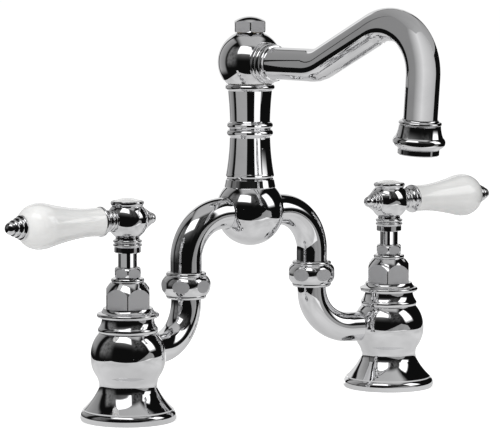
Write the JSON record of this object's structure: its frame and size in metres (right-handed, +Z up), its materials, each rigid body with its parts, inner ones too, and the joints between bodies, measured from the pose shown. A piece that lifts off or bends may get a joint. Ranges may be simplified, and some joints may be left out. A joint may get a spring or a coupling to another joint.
{
  "type": "bridge kitchen faucet",
  "caption": "Chromed bridge kitchen faucet for two deck holes, with porcelain lever handles, union-jointed arms and a tall swivelling swan-neck spout.",
  "frame": {"origin": "on the deck plane, midway between the axes of the two tap feet, which is the centre of the two-hole inlet pattern", "axes": "+X from the left tap to the right tap, seen from the front; -Y towards the user, the way the spout reaches; +Z up"},
  "size_m": [0.373, 0.1915, 0.2437],
  "materials": {
    "chrome": "polished chrome plate on brass",
    "porcelain": "glossy white glazed porcelain",
    "disc_ceramic": "lapped alumina",
    "brass": "bare machined brass",
    "steel": "stainless steel",
    "black_rubber": "moulded rubber",
    "white_washer": "low-friction plastic",
    "insert_plastic": "moulded acetal"
  },
  "bodies": {
    "bridge": {"left_valve_body": "chrome", "left_lower_elbow": "chrome", "left_union_nut": "chrome", "left_upper_arm": "chrome", "left_bonnet": "chrome", "left_fixed_disc": "disc_ceramic", "left_packing_nut": "chrome", "right_valve_body": "chrome", "right_lower_elbow": "chrome", "right_union_nut": "chrome", "right_upper_arm": "chrome", "right_bonnet": "chrome", "right_fixed_disc": "disc_ceramic", "right_packing_nut": "chrome", "base_gaskets": "black_rubber", "union_gaskets": "black_rubber", "seat_gaskets": "black_rubber", "gland_packings": "white_washer", "hub": "chrome", "lower_column": "chrome", "upper_column": "chrome", "swivel_ring": "chrome", "swivel_washer": "white_washer", "swivel_post": "brass", "swivel_o_rings": "black_rubber", "cap_nut": "chrome"},
    "spout": {"swivel_ball": "chrome", "spout_collar": "chrome", "spout_tube": "chrome", "outlet_bell": "chrome", "aerator_housing": "chrome", "aerator_insert": "insert_plastic"},
    "left_handle": {"left_turning_disc": "disc_ceramic", "left_spindle": "chrome", "left_handle_hub": "chrome", "left_handle_screw": "steel", "left_index_ring": "chrome", "left_index_button": "porcelain", "left_hub_finial": "chrome", "left_lever_rod": "steel", "left_lever_collar": "chrome", "left_grip": "porcelain", "left_end_finial": "chrome"},
    "right_handle": {"right_turning_disc": "disc_ceramic", "right_spindle": "chrome", "right_handle_hub": "chrome", "right_handle_screw": "steel", "right_index_ring": "chrome", "right_index_button": "porcelain", "right_hub_finial": "chrome", "right_lever_rod": "steel", "right_lever_collar": "chrome", "right_grip": "porcelain", "right_end_finial": "chrome"}
  },
  "joints": [
    {"name": "spout_swivel", "type": "hinge", "parent": "bridge", "child": "spout", "pos_m": [0, 0.0131, 0.2084], "axis": [0, 0, 1], "continuous": true},
    {"name": "left_handle_turn", "type": "hinge", "parent": "bridge", "child": "left_handle", "pos_m": [-0.1016, 0, 0.1188], "axis": [0, 0, 1], "range_deg": [0, 90]},
    {"name": "right_handle_turn", "type": "hinge", "parent": "bridge", "child": "right_handle", "pos_m": [0.1016, 0, 0.1188], "axis": [0, 0, 1], "range_deg": [-90, 0]}
  ]
}
